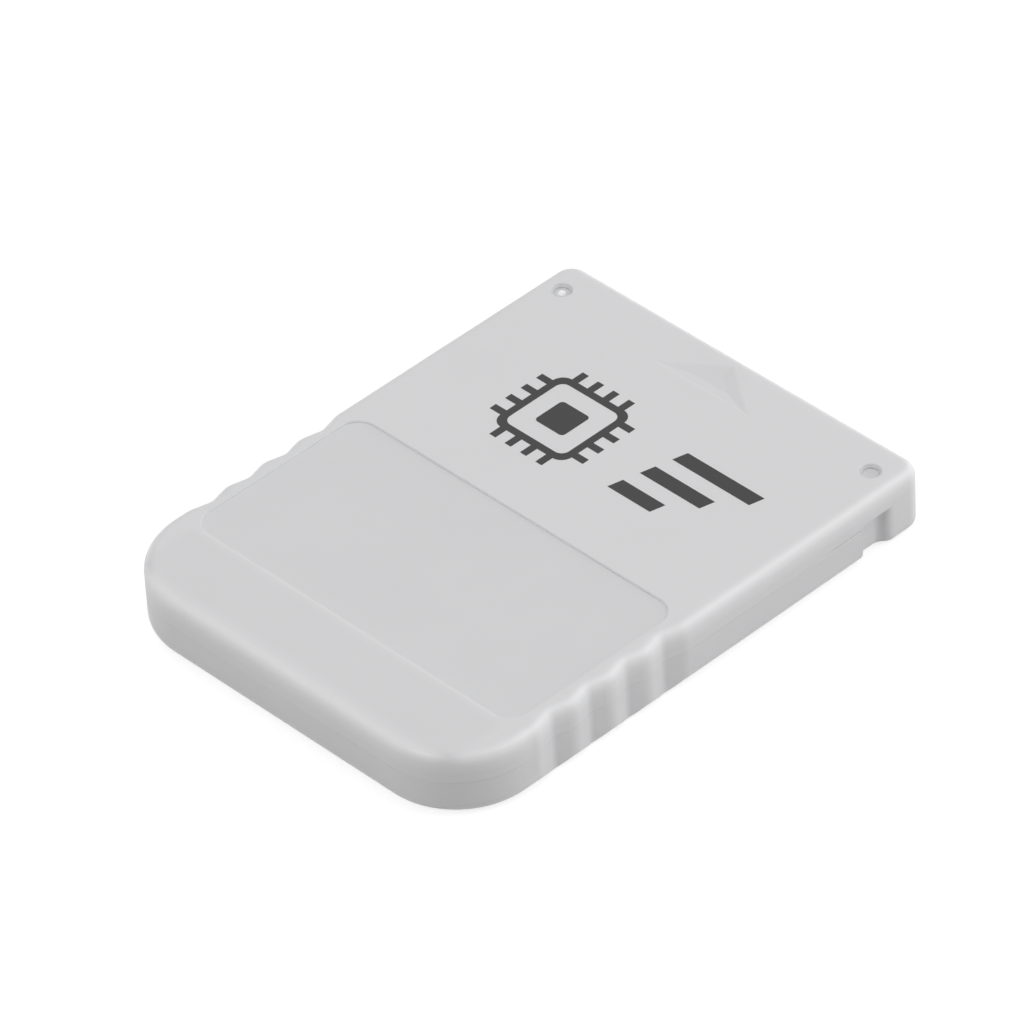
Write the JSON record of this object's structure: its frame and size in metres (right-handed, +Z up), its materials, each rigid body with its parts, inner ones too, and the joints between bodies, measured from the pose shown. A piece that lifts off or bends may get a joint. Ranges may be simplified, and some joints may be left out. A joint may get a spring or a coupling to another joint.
{
  "type": "console memory card",
  "caption": "Flat grey plastic save card for a game console: round grip end, finger-grooved sides, label recess and an open contact bay at the plug end.",
  "frame": {"origin": "middle of the underside, on the surface that the card rests on", "axes": "+Z up through the label face, +Y out of the plug end along the way the card goes into its slot, +X across the card"},
  "size_m": [0.042, 0.055, 0.0064],
  "materials": {
    "case": "fine moulded satin, light grey",
    "board": "green solder mask on glass epoxy",
    "carrier": "satin dark moulded insulator",
    "contact": "gold plated",
    "package": "matte black moulding compound",
    "ceramic": "glazed ceramic",
    "capacitor": "ceramic with tinned ends",
    "resistor": "glazed film with tinned ends"
  },
  "bodies": {
    "root": {"upper_shell": "case", "lower_shell": "case", "circuit_board": "board", "contact_carrier": "carrier", "controller_chip": "package", "memory_chip": "package", "resonator": "ceramic", "contact_1": "contact", "contact_2": "contact", "contact_3": "contact", "contact_4": "contact", "contact_5": "contact", "contact_6": "contact", "contact_7": "contact", "contact_8": "contact", "capacitor_1": "capacitor", "capacitor_2": "capacitor", "capacitor_3": "capacitor", "capacitor_4": "capacitor", "resistor_1": "resistor", "resistor_2": "resistor", "resistor_3": "resistor", "resistor_4": "resistor"}
  },
  "joints": []
}
